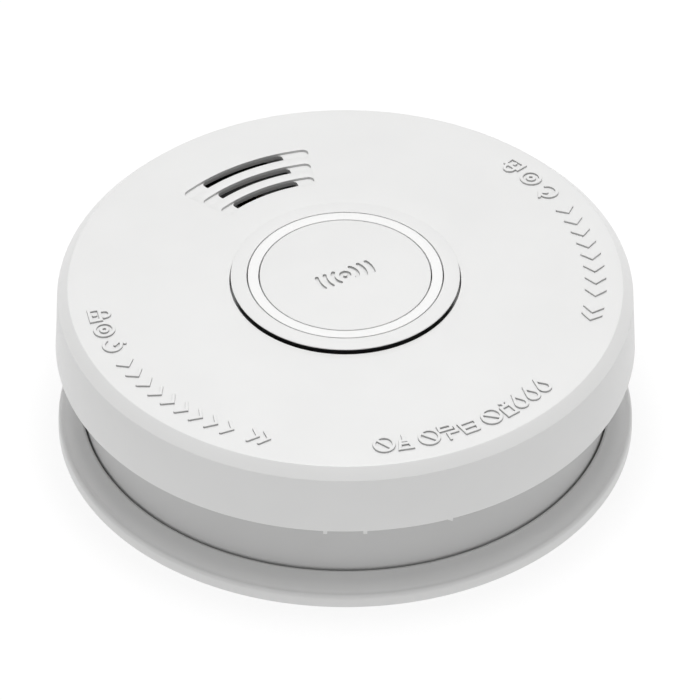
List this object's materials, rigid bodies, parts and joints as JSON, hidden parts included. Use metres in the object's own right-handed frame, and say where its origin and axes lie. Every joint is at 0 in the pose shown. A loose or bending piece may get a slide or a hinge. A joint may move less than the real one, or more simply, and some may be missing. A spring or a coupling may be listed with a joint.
{
  "type": "battery smoke detector",
  "caption": "Round battery smoke detector on a twist-lock ceiling bracket, with a wide central test button, sounder slots and a rear battery door.",
  "frame": {"origin": "centre of the bracket's back face, the face that goes against the ceiling", "axes": "+Z from the bracket towards the test button; X along the battery; the sounder slots lie at 120 degrees from +X about +Z"},
  "size_m": [0.12, 0.12, 0.0403],
  "materials": {
    "bracket_plastic": "white moulded plastic, fine satin texture",
    "shell_plastic": "white moulded plastic, fine satin texture",
    "button_plastic": "white moulded plastic, soft gloss",
    "light_guide": "milky translucent plastic, smooth",
    "dark_plastic": "black moulded plastic, low gloss",
    "circuit_laminate": "green solder mask over laminate",
    "component_case": "black moulded component cases",
    "red_lens": "clear red lens",
    "tinted_lens": "dark tinted lens",
    "screen_steel": "fine stainless wire mesh",
    "spring_steel": "nickel plated sheet and wire",
    "screw_steel": "zinc plated steel",
    "foam": "soft black foam",
    "sounder_brass": "rolled brass sheet",
    "piezo_ceramic": "silvered ceramic",
    "cell_sleeve": "shrunk plastic sleeve"
  },
  "bodies": {
    "bracket": {"mounting_bracket": "bracket_plastic"},
    "alarm_head": {"rear_housing": "shell_plastic", "top_cover": "shell_plastic", "circuit_board": "circuit_laminate", "microcontroller": "component_case", "sounder_driver_chip": "component_case", "boost_inductor": "component_case", "capacitor_large": "component_case", "capacitor_small": "component_case", "status_led": "red_lens", "test_switch_body": "component_case", "chamber_base": "dark_plastic", "chamber_cap": "dark_plastic", "insect_screen": "screen_steel", "infrared_emitter": "tinted_lens", "photodiode": "tinted_lens", "photodiode_shield": "spring_steel", "sounder_horn": "dark_plastic", "sounder_gasket": "foam", "piezo_disc": "sounder_brass", "piezo_ceramic": "piezo_ceramic", "sounder_retainer": "dark_plastic", "sounder_contact_centre": "spring_steel", "sounder_contact_edge": "spring_steel", "battery_cell": "cell_sleeve", "contact_positive": "spring_steel", "contact_negative": "spring_steel", "battery_spring": "spring_steel", "housing_screw_1": "screw_steel", "housing_screw_2": "screw_steel", "housing_screw_3": "screw_steel", "housing_screw_4": "screw_steel"},
    "test_button": {"button_bezel": "button_plastic", "light_ring": "light_guide", "button_cap": "button_plastic", "button_carrier": "dark_plastic"},
    "switch_plunger": {"switch_plunger": "dark_plastic"},
    "battery_door": {"battery_door": "shell_plastic"}
  },
  "joints": [
    {"name": "head_twist", "type": "hinge", "parent": "bracket", "child": "alarm_head", "pos_m": [0, 0, 0.0058], "axis": [0, 0, 1], "range_deg": [0, 18]},
    {"name": "button_press", "type": "slide", "parent": "alarm_head", "child": "test_button", "axis": [0, 0, -1], "range_m": [0, 0.001], "stiffness_N_per_m": 600, "springref_m": -0.001},
    {"name": "switch_press", "type": "slide", "parent": "alarm_head", "child": "switch_plunger", "axis": [0, 0, -1], "range_m": [0, 0.0003]},
    {"name": "battery_door_hinge", "type": "hinge", "parent": "alarm_head", "child": "battery_door", "pos_m": [0, -0.011, 0.0019], "axis": [-1, 0, 0], "range_deg": [0, 100]}
  ],
  "couplings": [
    {"joint": "switch_press", "follows": "button_press", "ratio": 0.3}
  ]
}
